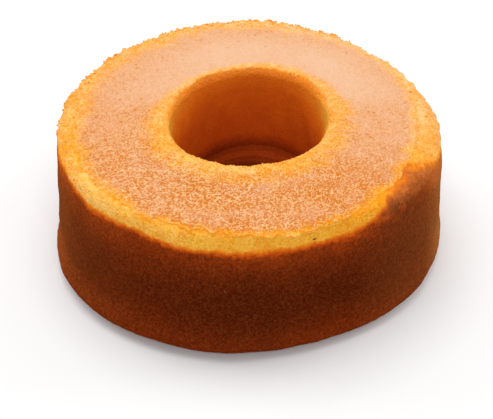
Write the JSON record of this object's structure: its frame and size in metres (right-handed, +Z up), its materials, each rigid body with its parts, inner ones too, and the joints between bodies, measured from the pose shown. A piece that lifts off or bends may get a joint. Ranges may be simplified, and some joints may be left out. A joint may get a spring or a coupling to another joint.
{
  "type": "cornmeal cake",
  "caption": "Ring-shaped cornmeal cake turned out of its tin: flat pored top crust, soft yellow shoulder, browned side and a tapered hole with a ledge.",
  "frame": {"origin": "middle of the cake's outer box, on the surface that it rests on", "axes": "+Z up along the hole; -Y is the side that faces the picture's camera; +X is the picture's right"},
  "size_m": [0.2124, 0.211, 0.0779],
  "materials": {
    "baked_cake": "baked crust over open crumb, matte to faintly buttery"
  },
  "bodies": {
    "root": {"ring_cake": "baked_cake"}
  },
  "joints": []
}
